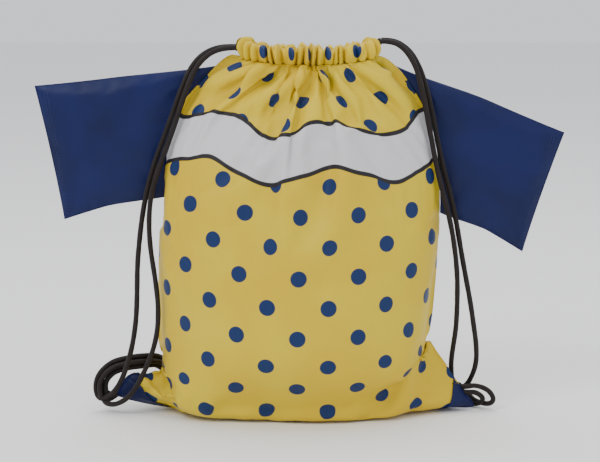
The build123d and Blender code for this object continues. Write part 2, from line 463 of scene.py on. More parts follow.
def cord_yarn():
    """Braided yarn: fine filaments along each strand, with a painted highlight on the crowns."""
    material = new_material("cord_yarn", CORD_DARK, 0.62)
    n = Nodes(material)
    fibre = n.noise(n.cut()[0], 900, 2)
    crown = n.add("ShaderNodeNewGeometry").outputs["Pointiness"]
    # The braid's raised crowns, found by pointiness, are painted lighter: a painted highlight. The fibre
    # noise adds random tone.
    lit_crowns_and_fibre = n.math("MULTIPLY", n.edge(crown, 0.48, 0.56), 0.55)
    lit_crowns_and_fibre = n.math("MULTIPLY_ADD", fibre, 0.3, lit_crowns_and_fibre)
    n.join(n.mix(lit_crowns_and_fibre, CORD_DARK, CORD_LIT), n.shader.inputs["Base Color"])
    n.shader.inputs["Specular IOR Level"].default_value = 0.2
    n.shader.inputs["Sheen Weight"].default_value = 0.06
    n.shader.inputs["Sheen Roughness"].default_value = 0.5
    n.bump(fibre, 0.35, 0.0002)
    return material


def webbing():
    """Dark woven tape with fine ribs."""
    material = new_material("woven_tape", TAPE_DARK, 0.7)
    n = Nodes(material)
    wave = n.add("ShaderNodeTexWave", bands_direction="Z")
    n.join(n.object_place(), wave.inputs["Vector"])
    wave.inputs["Scale"].default_value = 260
    wave.inputs["Distortion"].default_value = 1.0
    ribs = wave.outputs["Fac"]
    # The ribs' crests are painted lighter and their hollows darker: painted light and shade on the ribs.
    n.join(n.mix(ribs, TAPE_DARK, TAPE_LIT), n.shader.inputs["Base Color"])
    n.bump(ribs, 0.6, 0.0003)
    return material


def thread_material(name, color):
    """Twisted sewing thread."""
    material = new_material(name, color, 0.6)
    n = Nodes(material)
    twist = n.noise(n.object_place(), 1500, 1)
    n.join(n.mix(twist, color, tuple(0.7 * c for c in color)), n.shader.inputs["Base Color"])
    n.bump(twist, 0.3, 0.0001)
    return material


# ---------------------------------------------------------------- the sack's cloth

def mouth_point(t):
    """A point t of the way along the front half of the gathered mouth, and its outward normal."""
    quarter = math.pi * MOUTH_RADIUS / 2
    s = t * (MOUTH_STRAIGHT + 2 * quarter)
    left, right = MOUTH_X - MOUTH_STRAIGHT / 2, MOUTH_X + MOUTH_STRAIGHT / 2
    if s < quarter:
        angle = s / MOUTH_RADIUS
        nx, ny, x = -math.cos(angle), -math.sin(angle), left
    elif s < quarter + MOUTH_STRAIGHT:
        nx, ny, x = 0.0, -1.0, left + s - quarter
    else:
        angle = (s - quarter - MOUTH_STRAIGHT) / MOUTH_RADIUS
        nx, ny, x = math.sin(angle), -math.cos(angle), right
    return x + MOUTH_RADIUS * nx, MOUTH_RADIUS * ny, nx, ny


def pleat(t, side):
    """How far the gathered cloth stands off the mouth's line: uneven rolls with narrow creases between."""
    warp = 1.5 * math.sin(4.3 * math.pi * t + 1.4 * side) + 1.0 * math.sin(9.7 * math.pi * t + 2 * side)
    warp += 0.7 * math.sin(15.1 * math.pi * t + 0.7 * side)
    turn = math.pi * PLEATS * t + 0.62 * warp
    uneven = 0.9 + 0.28 * math.sin(9.3 * t + 2.1 * side) + 0.22 * math.sin(29 * t + side)
    roll = 2 * abs(math.sin(turn)) ** 0.8 - 1
    swing = 0.0016 * math.sin(13.7 * t + 1.9 * side) * min(1, 6 * t, 6 * (1 - t))
    return PLEAT_DEEP * uneven * min(1, 9 * t, 9 * (1 - t)) * roll + swing


def along_mouth(u):
    """Where a place u (-1 to 1) across the cut comes to lie along the mouth."""
    return 0.5 + 0.5 * math.copysign(abs(u) ** GATHER_POWER, u)


def mouth_height(t):
    """The mouth dips between its two ends."""
    return MOUTH_Z - MOUTH_DIP * (1 - (2 * t - 1) ** 2)


def gathered(u, side):
    """Where a point of the cut's top edge ends up on the gathered mouth."""
    t = along_mouth(u)
    x, y, nx, ny = mouth_point(t)
    w = pleat(t, side)
    return (x + nx * w, -side * (y + ny * w), mouth_height(t))


class Sack:
    """Front (-1) and back (+1) sheets, welded at the sides and the bottom."""

    def __init__(self):
        self.columns = round(CUT_WIDE / CELL)
        self.rows = round(CUT_TALL / CELL)
        self.index = {}
        self.places = []
        faces = []
        for side in (-1, 1):
            for j in range(self.rows):
                for i in range(self.columns):
                    quad = [self.point(side, i, j), self.point(side, i + 1, j),
                            self.point(side, i + 1, j + 1), self.point(side, i, j + 1)]
                    faces.append(quad if side < 0 else quad[::-1])
        mesh = bpy.data.meshes.new("sack")
        mesh.from_pydata(self.places, [], faces)
        self.piece = link("sack", mesh)

    def key(self, side, i, j):
        """One key for both sheets where they are sewn together."""
        return (0 if i in (0, self.columns) or j == 0 else side, i, j)

    def point(self, side, i, j):
        key = self.key(side, i, j)
        if key not in self.index:
            self.index[key] = len(self.places)
            across = 2 * i / self.columns - 1
            room = 0.0045 * math.sqrt(max(0, 1 - across**2)) * min(1, j * CELL / 0.02)
            self.places.append((across * CUT_WIDE / 2, side * room, j * CELL + 0.0015))
        return self.index[key]

    def hold(self):
        """Pin the mouth and the corners' points, and key their way from flat to gathered."""
        self.piece.shape_key_add(name="flat")
        key = self.piece.shape_key_add(name="gathered")
        pins = []
        for (side, i, j), n in self.index.items():
            if j == self.rows:
                side = side or -1
                place = gathered(2 * i / self.columns - 1, side)
                key.data[n].co = (place[0], 0 if i in (0, self.columns) else place[1], place[2])
                pins.append(n)
        for points, corner, inward in ((LEFT_CORNER_POINTS, 0, 1), (RIGHT_CORNER_POINTS, self.columns, -1)):
            for column, row, place in points:
                i = corner + inward * int(column * CORNER_STEP / CELL)
                j = int(row * CORNER_STEP / CELL)
                if column + row > 0 and (i, j) == (corner, 0):
                    continue
                for side in {self.key(s, i, j)[0] for s in (-1, 1)}:
                    n = self.index[(side, i, j)]
                    key.data[n].co = Vector(place) * MM + Vector((0, side * 0.0012, 0))
                    pins.append(n)
        self.piece.vertex_groups.new(name="pins").add(pins, 1, "REPLACE")
        for value, when in ((0, 1), (1, FILL_FRAMES)):
            key.value = value
            key.keyframe_insert("value", frame=when)

    def sheets(self, places):
        """The simulated points of both sheets, as grids of rows and columns."""
        grids = {}
        for side in (-1, 1):
            grids[side] = np.array([[places[self.index[self.key(side, i, j)]]
                                     for i in range(self.columns + 1)] for j in range(self.rows + 1)])
        return grids


def make_filling():
    """A smooth body of loose stuffing that grows inside the flat sack."""
    places = []
    for z, centre, wide, deep in FILLING:
        for k in range(FILLING_SIDES):
            angle = TAU * k / FILLING_SIDES
            places.append(((centre + wide * math.cos(angle)) * MM, deep * math.sin(angle) * MM, z * MM))
    faces = []
    for r in range(len(FILLING) - 1):
        for k in range(FILLING_SIDES):
            a, b = r * FILLING_SIDES + k, r * FILLING_SIDES + (k + 1) % FILLING_SIDES
            faces.append((a, b, b + FILLING_SIDES, a + FILLING_SIDES))
    faces.append(tuple(range(FILLING_SIDES))[::-1])
    faces.append(tuple(range(len(places) - FILLING_SIDES, len(places))))
    mesh = bpy.data.meshes.new("filling")
    mesh.from_pydata(places, [], faces)
    filling = link("filling", mesh)
    filling.modifiers.new("round", "SUBSURF").levels = 1
    for share, when in ((0.03, 1), (1, FILL_FRAMES)):
        filling.scale.y = share
        filling.keyframe_insert("scale", frame=when)
    return filling


def make_solid(piece, friction):
    """Let the cloth rest on this piece."""
    piece.modifiers.new("solid", "COLLISION")
    piece.collision.thickness_outer = 0.001
    piece.collision.cloth_friction = friction
    piece.collision.damping = 0.3


def add_cloth(piece, bending, mass, pressure=0.0, gravity=1.0):
    """A cloth simulation for thin, rather stiff coated cloth, held at its pins."""
    cloth = piece.modifiers.new("cloth", "CLOTH")
    s = cloth.settings
    s.quality = 5
    s.mass = mass
    s.tension_stiffness = s.compression_stiffness = 15
    s.shear_stiffness = 5
    s.bending_stiffness = bending
    s.tension_damping = s.compression_damping = s.shear_damping = 5
    s.bending_damping = 0.5
    s.air_damping = 2
    s.vertex_group_mass = "pins"
    s.use_pressure = pressure > 0
    s.uniform_pressure_force = pressure
    s.effector_weights.gravity = gravity
    c = cloth.collision_settings
    c.distance_min = 0.0015
    c.collision_quality = 2
    cloth.point_cache.frame_end = LAST_FRAME
    return cloth


# ---------------------------------------------------------------- the sleeves' cloth

# The four corners of each sleeve, in millimetres: x and height.
LEFT_SLEEVE = {
    "root_top": (-101, 331), "tip_top": (-249, 313), "tip_bottom": (-223, 186), "root_bottom": (-146, 209),
}
RIGHT_SLEEVE = {
    "root_top": (108, 331), "tip_top": (249, 269), "tip_bottom": (211, 155), "root_bottom": (146, 193),
}
SLEEVE_CELLS = 30
SLEEVE_PUFF = 0.003


class Sleeve:
    """Two layers sewn together round three sides; the fourth, the root, is sewn in the side seam."""

    def __init__(self, name, corners):
        self.size = SLEEVE_CELLS + 1
        top, tip_top, tip_bottom, bottom = (Vector(corners[k]) * MM for k in (
            "root_top", "tip_top", "tip_bottom", "root_bottom"))
        self.flat = np.empty((self.size, self.size, 2))
        for j in range(self.size):
            for i in range(self.size):
                s, t = i / SLEEVE_CELLS, j / SLEEVE_CELLS
                self.flat[j, i] = (bottom.lerp(tip_bottom, s)).lerp(top.lerp(tip_top, s), t)
        self.index, places, faces = {}, [], []
        for side in (-1, 1):
            for j in range(self.size):
                for i in range(self.size):
                    key = self.key(side, i, j)
                    if key not in self.index:
                        self.index[key] = len(places)
                        x, z = self.flat[j, i]
                        puff = SLEEVE_PUFF * math.sin(math.pi * j / SLEEVE_CELLS) * (1 - i / SLEEVE_CELLS)
                        places.append((x, key[0] * (CLOTH_THICK + puff), z))
            for j in range(SLEEVE_CELLS):
                for i in range(SLEEVE_CELLS):
                    quad = [self.index[self.key(side, a, b)] for a, b in (
                        (i, j), (i + 1, j), (i + 1, j + 1), (i, j + 1))]
                    outward = (side < 0) == (corners["tip_top"][0] > 0)
                    faces.append(quad if outward else quad[::-1])
        mesh = bpy.data.meshes.new(name)
        mesh.from_pydata(places, [], faces)
        self.piece = link(name, mesh)
        roots = [n for (side, i, j), n in self.index.items() if i == 0]
        self.piece.vertex_groups.new(name="pins").add(roots, 1, "REPLACE")

    def key(self, side, i, j):
        """One key for both layers where they are sewn together."""
        return (0 if i == SLEEVE_CELLS or j in (0, SLEEVE_CELLS) else side, i, j)

    def sheets(self, places):
        """The simulated points of both layers, as grids of rows and columns."""
        return {side: np.array([[places[self.index[self.key(side, i, j)]] for i in range(self.size)]
                                for j in range(self.size)]) for side in (-1, 1)}


def simulate(floor):
    """Fill and gather the sack, and puff the sleeves, then return the settled sheets."""
    sack = Sack()
    sack.hold()
    filling = make_filling()
    make_solid(filling, 1)
    make_solid(floor, 2)
    sleeves = [Sleeve("left", LEFT_SLEEVE), Sleeve("right", RIGHT_SLEEVE)]
    cloths = [add_cloth(sack.piece, 3.0, 0.006)]
    cloths += [add_cloth(sleeve.piece, 1.0, 0.006, pressure=5.0, gravity=0.0) for sleeve in sleeves]
    cloths[0].collision_settings.use_self_collision = False
    for cloth in cloths[1:]:
        cloth.collision_settings.use_collision = False
    scene = bpy.context.scene
    scene.frame_start, scene.frame_end = 1, LAST_FRAME
    for when in range(1, LAST_FRAME + 1):
        scene.frame_set(when)
    graph = bpy.context.evaluated_depsgraph_get()
    settled = []
    for holder in (sack, *sleeves):
        mesh = holder.piece.evaluated_get(graph).to_mesh()
        places = np.empty(3 * len(mesh.vertices))
        mesh.vertices.foreach_get("co", places)
        settled.append(holder.sheets(places.reshape(-1, 3)))
    scene.frame_set(1)
    for thing in (sack.piece, filling, *(sleeve.piece for sleeve in sleeves)):
        bpy.data.objects.remove(thing, do_unlink=True)
    floor.modifiers.clear()
    return settled[0], {"left": (sleeves[0], settled[1]), "right": (sleeves[1], settled[2])}


class Surface:
    """A smooth cubic surface over a grid of points, read at any place of the flat cut."""

    def __init__(self, grid, low, high):
        self.low, self.high = np.array(low, float), np.array(high, float)
        padded = np.concatenate([2 * grid[:1] - grid[1:2], grid, 2 * grid[-1:] - grid[-2:-1]])
        self.grid = np.concatenate([2 * padded[:, :1] - padded[:, 1:2], padded,
                                    2 * padded[:, -1:] - padded[:, -2:-1]], axis=1)
        self.cells = (grid.shape[1] - 1, grid.shape[0] - 1)

    @staticmethod
    def weights(t):
        """The four weights of a uniform cubic spline, t of the way along a cell."""
        return [(1 - t) ** 3 / 6, (3 * t**3 - 6 * t**2 + 4) / 6,
                (-3 * t**3 + 3 * t**2 + 3 * t + 1) / 6, t**3 / 6]

    def at(self, u, v):
        """The surface's points at these places of the cut."""
        u, v = np.asarray(u, float), np.asarray(v, float)
        spots = []
        for value, axis in ((u, 0), (v, 1)):
            x = (value - self.low[axis]) / (self.high[axis] - self.low[axis]) * self.cells[axis]
            x = np.clip(x, 0, self.cells[axis])
            cell = np.minimum(x.astype(int), self.cells[axis] - 1)
            spots.append((cell, self.weights(x - cell)))
        (i, wu), (j, wv) = spots
        total = 0
        for a in range(4):
            for b in range(4):
                total = total + (wu[a] * wv[b])[..., None] * self.grid[j + b, i + a]
        return total

    def normals(self, u, v, outward, step=0.0015):
        """The surface's unit normals, turned round where outward is -1."""
        across = self.at(u + step, v) - self.at(u - step, v)
        up = self.at(u, v + step) - self.at(u, v - step)
        n = np.cross(across, up) * outward
        return n / np.maximum(np.linalg.norm(n, axis=-1, keepdims=True), 1e-9)


SIDE_NAMES = {-1: "front", 1: "back"}


def keep_apart(grids):
    """Where the front and back cloth lie on each other, leave a little room between them."""
    front, back = grids[-1], grids[1]
    middle = (front + back) / 2
    outward = np.cross(np.gradient(middle, axis=1), np.gradient(middle, axis=0))
    outward /= np.maximum(np.linalg.norm(outward, axis=-1, keepdims=True), 1e-9)
    rows, columns = front.shape[:2]
    i, j = np.meshgrid(np.arange(columns), np.arange(rows))
    edge = np.minimum(np.minimum(i, columns - 1 - i), j) * CELL
    room = EAR_GAP * smooth_step(edge / 0.012)
    apart = ((front - back) * outward).sum(-1)
    near = np.linalg.norm(front - back, axis=-1) < EAR_NEAR
    short = np.where(near, np.maximum(room - apart, 0), 0)[..., None]
    return {-1: front + outward * short / 2, 1: back - outward * short / 2}


def calm_foot(grid):
    """Smooth the ledge that the settled cloth makes above its foot, away from the side seams."""
    rows, columns = grid.shape[:2]
    i, j = np.meshgrid(np.arange(columns), np.arange(rows))
    inward = smooth_step((np.minimum(i, columns - 1 - i) * CELL - 0.012) / 0.03)
    upward = smooth_step((j * CELL - CALM_FROM) / 0.025) * (1 - smooth_step((j * CELL - CALM_TO) / 0.04))
    share = (0.5 * inward * upward)[1:-1, 1:-1, None]
    calm = grid.copy()
    for _ in range(CALM_ROUNDS):
        around = (calm[:-2, 1:-1] + calm[2:, 1:-1] + calm[1:-1, :-2] + calm[1:-1, 2:]) / 4
        calm[1:-1, 1:-1] += share * (around - calm[1:-1, 1:-1])
    return calm


def sack_surfaces(grids):
    """The settled front and back as smooth surfaces over the flat cut."""
    half = CUT_WIDE / 2
    return {side: Surface(calm_foot(grids[side]), (-half, 0), (half, CUT_TALL)) for side in (-1, 1)}


def cut_uv(side, u, v):
    """The print runs on from the front round the right-hand seam to the back."""
    return np.stack([u if side < 0 else CUT_WIDE - u, v], axis=-1)


def fold_height(x, z):
    """How far the drawn folds push the front cloth out at these places."""
    total = np.zeros_like(x)
    for line, high, wide in FOLDS:
        best, lift = np.full_like(x, 1e9), np.zeros_like(x)
        whole = sum(math.dist(p, q) for p, q in zip(line, line[1:]))
        done = 0.0
        for (ax, az), (bx, bz) in zip(line, line[1:]):
            run = math.hypot(bx - ax, bz - az)
            dx, dz = (bx - ax) / run, (bz - az) / run
            along = np.clip((x - ax) * dx + (z - az) * dz, 0, run)
            off = np.hypot(x - ax - along * dx, z - az - along * dz)
            signed = (x - ax) * dz - (z - az) * dx
            share = (done + along) / whole
            window = 0.25 + 0.75 * smooth_step(np.minimum(share, 1 - share) / 0.3)
            past_end = np.abs((x - ax) * dx + (z - az) * dz - along)
            window = window * np.exp(-(past_end / (1.5 * wide)) ** 2)
            shape = np.exp(-(signed / wide) ** 2) - 0.7 * np.exp(-((signed - 1.7 * wide) / wide) ** 2)
            lift = np.where(off < best, high * window * shape, lift)
            best = np.minimum(best, off)
            done += run
        total += lift
    return total


def cloth_points(surfaces, side, u, v, lift=0.0):
    """Places on one sheet's outer face, pinched in along its seams."""
    surface = surfaces[side]
    points = surface.at(u, v)
    normals = surface.normals(u, v, 1 if side < 0 else -1)
    from_side = CUT_WIDE / 2 - np.abs(u)
    seam = np.exp(-(from_side / SEAM_WIDE) ** 2) + 0.6 * np.exp(-(v / SEAM_WIDE) ** 2)
    push = lift - SEAM_DEEP * np.minimum(seam, 1)
    if side < 0:
        away = smooth_step(from_side / 0.02) * smooth_step((CUT_TALL - v) / 0.01)
        push = push + away * MM * fold_height(points[..., 0] / MM, points[..., 2] / MM)
    points = points + normals * np.asarray(push)[..., None]
    points[..., 2] = np.maximum(points[..., 2], FLOOR_GAP)
    return points


def make_panels(surfaces, cloth):
    """Front and back, cut away under the corner patches."""
    half = CUT_WIDE / 2
    columns, rows = PANEL_POINTS
    u, v = np.meshgrid(np.linspace(-half, half, columns), np.linspace(0, CUT_TALL, rows))
    panels = []
    for side in surfaces:
        points = cloth_points(surfaces, side, u, v)
        name = SIDE_NAMES[side]
        hidden = v < patch_edge(half - np.abs(u)) - PATCH_OVERLAP
        panel = sheet_mesh(f"{name}_cloth_panel", points, cut_uv(side, u, v), flip=side > 0, hidden=hidden)
        thicken(panel, CLOTH_THICK)
        finish_piece(panel, "bag", "yellow_cloth", cloth, f"{name}_panel")
        panels.append(panel)
    return panels


# The tunnel's cross-section: how far along the cloth, how far out from the mouth's line, and how far up as a
# share of its height.
TUNNEL_SHAPE = [
    (0.000, 0.0000, 0.00), (0.004, 0.0016, 0.20), (0.009, 0.0026, 0.48), (0.013, 0.0020, 0.76),
    (0.017, 0.0000, 0.95), (0.021, -0.0046, 1.00), (0.025, -0.0096, 0.93), (0.030, -0.0122, 0.70),
    (0.036, -0.0130, 0.42), (0.042, -0.0128, 0.15), (0.046, -0.0122, 0.00),
]
# The walls lie against the cord, never in it.
OUTSIDE_CORD = -0.0042
INSIDE_CORD = -0.0104


def make_hem(side, cloth):
    """The tunnel: up outside the cord, over it and down inside, in pleats that soften inwards."""
    across = np.linspace(-1, 1, HEM_POINTS[0])
    keep = [u for u in across if TUNNEL_ENDS[0] <= along_mouth(u) <= TUNNEL_ENDS[1]]
    shape = Surface(np.array([[(a, b, c)] * 2 for a, b, c in TUNNEL_SHAPE]), (0, 0), (1, 1))
    rows = np.linspace(0, 1, HEM_POINTS[1])
    profile = shape.at(np.zeros_like(rows), rows)
    points = np.empty((len(rows), len(keep), 3))
    uvs = np.empty((len(rows), len(keep), 2))
    for i, u in enumerate(keep):
        t = along_mouth(u)
        x, y, nx, ny = mouth_point(t)
        wave = pleat(t, side)
        end = abs(2 * t - 1)
        end_lift = 0.0046 * end**5
        tall = TUNNEL_TALL + end_lift + 0.0046 * noise.noise(Vector((21 * t, side * 5.0, 0.3)))
        slant = 0.016 * math.sin(11 * t + 1.3 * side) + 0.008 * math.sin(27 * t)
        for j, (length, out, up) in enumerate(profile):
            inner = smooth_step((length - 0.014) / 0.016)
            lean = pleat(min(1, max(0, t + slant * up)), side)
            ripple = 0.0022 * noise.noise(Vector((48 * t, 95 * length, side * 3.0)))
            ripple *= min(1, length / 0.004)
            puff = 0.0012 * math.sin(math.pi * min(1, length / 0.017))
            off = lean * (1 - 0.2 * inner) + out + ripple + puff
            if length < 0.015:
                off = max(off, OUTSIDE_CORD)
            elif length > 0.025:
                off = min(off, INSIDE_CORD)
            z = mouth_height(t) + tall * up + 0.34 * wave * up
            points[j, i] = (x + nx * off, -side * (y + ny * off), z)
            uvs[j, i] = (u * CUT_WIDE / 2 if side < 0 else CUT_WIDE - u * CUT_WIDE / 2, CUT_TALL + length)
    name = SIDE_NAMES[side]
    hem = sheet_mesh(f"{name}_tunnel_hem", points, uvs, flip=side > 0)
    thicken(hem, CLOTH_THICK)
    return finish_piece(hem, "bag", "yellow_cloth", cloth, f"{name}_hem")


# Corner patches: how far they reach along the bottom and up the side, and the curve of the free edge.
PATCH_BOTTOM = 0.056
PATCH_SIDE = 0.036
PATCH_POWER = 1.25
PATCH_LIFT = 0.0006
PATCH_OVERLAP = 0.005


def patch_edge(a):
    """How far up the patch reaches at a distance a from its side seam."""
    return PATCH_SIDE * np.maximum(1 - a / PATCH_BOTTOM, 0) ** PATCH_POWER


def make_patch(name, side, surfaces, corner, cloth):
    """A corner patch, cut to a hollow curve, on top of its panel."""
    share = np.linspace(0, 1, PATCH_POINTS)
    s, t = np.meshgrid(share ** 0.9, share)
    a = PATCH_BOTTOM * s
    b = patch_edge(a) * t
    u = corner * (CUT_WIDE / 2 - a)
    near = np.minimum(a, b)
    points = cloth_points(surfaces, side, u, b, 0.0001 + PATCH_LIFT * smooth_step(near / 0.005))
    flip = (side > 0) != (corner > 0)
    patch = sheet_mesh(f"{name}_corner_{SIDE_NAMES[side]}_cloth", points, cut_uv(side, u, b), flip=flip)
    thicken(patch, CLOTH_THICK, offset=1)
    return finish_piece(patch, "bag", "navy_cloth", cloth, f"{name}_corner_patch_{SIDE_NAMES[side]}")


# ---------------------------------------------------------------- sleeves

SLEEVE_ROUND = 0.0005  # how much higher a layer lies away from its sewn edges
CUFF_ROWS = (0.925, 0.945)  # the rows of stitches, as shares of the sleeve's length


def seam_at_height(surfaces, corner, heights):
    """Points of the settled side seam at the given heights."""
    v = np.linspace(0.05, CUT_TALL, 400)
    line = surfaces[-1].at(np.full_like(v, corner * CUT_WIDE / 2), v)
    order = np.argsort(line[:, 2])
    return np.stack([np.interp(heights, line[order, 2], line[order, k]) for k in (0, 1)], axis=-1)


def make_sleeve_layers(name, sleeve, grids, surfaces, cloth, thread):
    """Both layers of a sleeve, their roots brought to the side seam, with two rows along each cuff."""
    corner = -1 if name == "left" else 1
    layers = []
    for side in (-1, 1):
        grid = grids[side].copy()
        target = seam_at_height(surfaces, corner, grid[:, 0, 2])
        shift = np.zeros((sleeve.size, 3))
        shift[:, :2] = target - grid[:, 0, :2] + np.array([0, side * 0.0004])
        fade = (1 - smooth_step(np.linspace(0, 1, sleeve.size) / 0.5))[None, :, None]
        grid = grid + shift[:, None, :] * fade
        surface = Surface(grid, (0, 0), (1, 1))
        s, t = np.meshgrid(np.linspace(0, 1, SLEEVE_POINTS), np.linspace(0, 1, SLEEVE_POINTS))
        points = surface.at(s, t)
        rim = np.minimum.reduce([1 - s, t, 1 - t])
        flat = np.array(surface_flat(sleeve, s, t))
        points[..., 1] += side * SLEEVE_ROUND * (1 - np.exp(-(rim / 0.02) ** 2))
        flip = (side > 0) != (corner < 0)
        layer = sheet_mesh(f"{name}_sleeve_{SIDE_NAMES[side]}_cloth", points, flat, flip=flip)
        thicken(layer, CLOTH_THICK)
        finish_piece(layer, None, "navy_cloth", cloth, f"{name}_sleeve_{SIDE_NAMES[side]}")
        blend_sleeve(layer, name)
        layers.append(layer)
        t = np.linspace(0.03, 0.97, 500)
        for share in CUFF_ROWS:
            s = np.full_like(t, share)
            outward = surface.normals(s, t, 1, 0.01)
            outward *= np.sign(outward[:, 1:2]) * side
            cuff = surface.at(s, t) + np.array([0, side * SLEEVE_ROUND, 0])
            title = f"{name}_cuff_{SIDE_NAMES[side]}_stitches_{round(1000 * share)}"
            blend_sleeve(stitch_row(title, cuff, outward, "navy_cloth", thread, body=None), name)
    return layers


def surface_flat(sleeve, s, t):
    """The flat cut of a sleeve at the given shares of its two sides."""
    a, b, c, d = sleeve.flat[0, 0], sleeve.flat[0, -1], sleeve.flat[-1, 0], sleeve.flat[-1, -1]
    s, t = s[..., None], t[..., None]
    return (a * (1 - s) + b * s) * (1 - t) + (c * (1 - s) + d * s) * t


def blend_sleeve(piece, name):
    """Read the joint that swings a sleeve, and bake the sleeve piece's transform into its mesh."""
    joint = next(j for j in frame["record"]["behaviour"]["joints"] if j["name"] == f"{name}_sleeve_swing")
    place, axis = Vector(joint["pos_m"]), Vector(joint["axis"]).normalized()
    outward = Vector((-1 if name == "left" else 1, 0, 0))
    outward = (outward - axis * outward.dot(axis)).normalized()
    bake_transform(piece)


# ---------------------------------------------------------------- cords

CORD = 0.005

# Each strand from its hole in the hem down to the corner, in millimetres.
LEFT_INNER_ROUTE = [
    (-60, -9.5, 348.5), (-70, -9.5, 348.5), (-82, -10.5, 344.5), (-92, -12, 336.5),
    (-99.5, -14.5, 325), (-105.5, -18, 310), (-113, -21, 288), (-121, -22, 264),
    (-130.5, -21.5, 240), (-138.5, -19.5, 216), (-141.5, -19, 190), (-140.5, -20, 163),
    (-136, -22, 135), (-132.8, -25, 108), (-134, -25, 82), (-140, -23, 60),
    (-147.5, -21, 43), (-154.5, -20, 29), (-164, -18, 16.5), (-176, -13, 9.5), (-185, -8, 9.5),
]
LEFT_OUTER_ROUTE = [
    (-60, 9.5, 348.5), (-70, 9.5, 348.5), (-82, 6.5, 346.5), (-92.5, 0.5, 340.5), (-101, -5.5, 331),
    (-108, -10, 316), (-116, -12, 295), (-124.5, -13, 271), (-134, -13, 247),
    (-141.5, -12.5, 223), (-147, -12, 198), (-150.5, -13, 172), (-153, -14, 146),
    (-153.5, -15, 119), (-154.5, -15.5, 94), (-158, -16, 70), (-163, -15.5, 51),
    (-168, -15, 37), (-174.5, -13, 25), (-182, -9, 16.5),
]
RIGHT_INNER_ROUTE = [
    (76, -9.5, 354.5), (86, -9.5, 354.5), (96, -11.5, 348.5), (104, -14, 338), (109.5, -16.5, 325),
    (114.5, -19.5, 304), (119, -22, 280), (123.5, -23, 256), (128.5, -23, 232),
    (135, -21, 208), (141, -18.5, 185), (145.5, -16, 160), (148.4, -13, 133), (148.8, -9, 106),
    (148.4, -3, 82), (146.5, 6, 62), (145.5, 16, 46), (146.5, 25, 33), (148, 32, 20),
]
RIGHT_OUTER_ROUTE = [
    (76, 9.5, 354.5), (86, 9.5, 354.5), (97, 5.5, 350), (106, -1, 340.5), (112.5, -7, 327.5),
    (118.5, -11, 308), (124, -12.5, 284), (128.5, -13, 260), (134, -13, 236),
    (141, -12.5, 211), (146.5, -12, 187), (151, -11, 161), (156, -8, 135), (161.5, -4, 108),
    (165.5, 1, 84), (169, 7, 62), (169.5, 13, 44), (166, 19, 30), (161, 24, 19),
]

LEFT_ROUTES = {"inner": LEFT_INNER_ROUTE, "outer": LEFT_OUTER_ROUTE}
RIGHT_ROUTES = {"inner": RIGHT_INNER_ROUTE, "outer": RIGHT_OUTER_ROUTE}

# The surplus of both strands of a cord, folded to and fro: its middle line at each corner.
LEFT_BUNDLE = [
    (-189, -3, 13), (-192, 0, 29), (-181, 2, 42.5), (-163, 4, 47), (-146, 9, 47.5), (-136, 25, 45),
    (-127, 44, 34), (-113, 62, 17), (-98, 73, 9.5),
]
RIGHT_BUNDLE = [(163, 24, 11), (147, 38, 10.5), (128, 53, 10), (108, 66, 9.5), (90, 74, 9.5)]
# Lanes in the bundle, outward and sideways: where it starts, and where it lies on the floor.
UPPER_LANES = {"start": ((5, -2), (0.5, 3)), "floor": ((-1.6, -3.1), (-1.6, 3.1))}
LOWER_LANES = {"start": ((0, -3.5), (-5, -1)), "floor": ((-6.9, -3.1), (-6.9, 3.1))}
# The last bend before the loop tab, for the two strands of each cord.
LEFT_HOMING = {
    "inner": [(-187, 2, 19.5), (-180.5, 4.5, 15), (-173, 5.6, 17.4)],
    "outer": [(-192.5, 3, 17.5), (-187, 6, 8.5), (-176, 7, 14), (-171, 6.2, 22)],
}
RIGHT_HOMING = {
    "inner": [(164, 21, 3), (173, 13, 4), (177, 7, 11), (169, 5.2, 17.8)],
    "outer": [(168, 20, 6), (181, 10, 4), (187, 4, 10), (181, 3, 20.5), (168, 4, 25)],
}
# Behind each bottom corner, the middle of the loop tab's foot and its turn.
LEFT_TAB = (Vector((-156, 1.9, 22)), 8)
RIGHT_TAB = (Vector((146, 7, 20)), -31)
CORDS_IN_TAB = 5.5
LOWEST = 2.8  # a cord's middle line, lying on the floor
# The turn at the end of the bundle: share of its length, and sideways.
TURN = [(0.35, -9), (0.8, -8), (1.0, 0), (0.8, 8), (0.35, 9)]
TURN_LONG = {"inner": 20, "outer": 16}
# Through the tab to the knot: where, and at what level each strand.
CORD_HOME = ((-12, CORDS_IN_TAB), (-4, CORDS_IN_TAB), (5, CORDS_IN_TAB), (12, 7.4))
LEVEL = {"inner": -2.6, "outer": 2.6}
KNOT_AWAY = 18
KNOT_LIFT = 8.5


def at_tab(tab, x, y, z):
    """A place given from the loop tab: x towards the bag's middle, y away from its foot."""
    foot, turn = tab
    local = Vector((-x if foot.x > 0 else x, y, z))
    return tuple(foot + Matrix.Rotation(math.radians(turn), 3, "Z") @ local)


def in_lane(bundle, k, start, floor, sign, settle):
    """The bundle's k-th point, moved to one strand's lane, which settles on the floor between two points."""
    here = Vector(bundle[k])
    along = (Vector(bundle[min(k + 1, len(bundle) - 1)]) - Vector(bundle[max(k - 1, 0)])).normalized()
    out = (along.cross(Vector((0, 1, 0))) * -sign).normalized()
    across = along.cross(out)
    share = float(smooth_step((k - settle[0]) / (settle[1] - settle[0])))
    lane = [(1 - share) * a + share * b for a, b in zip(start, floor)]
    moved = here + out * lane[0] + across * lane[1]
    moved.z = max(moved.z, LOWEST)
    return tuple(moved)


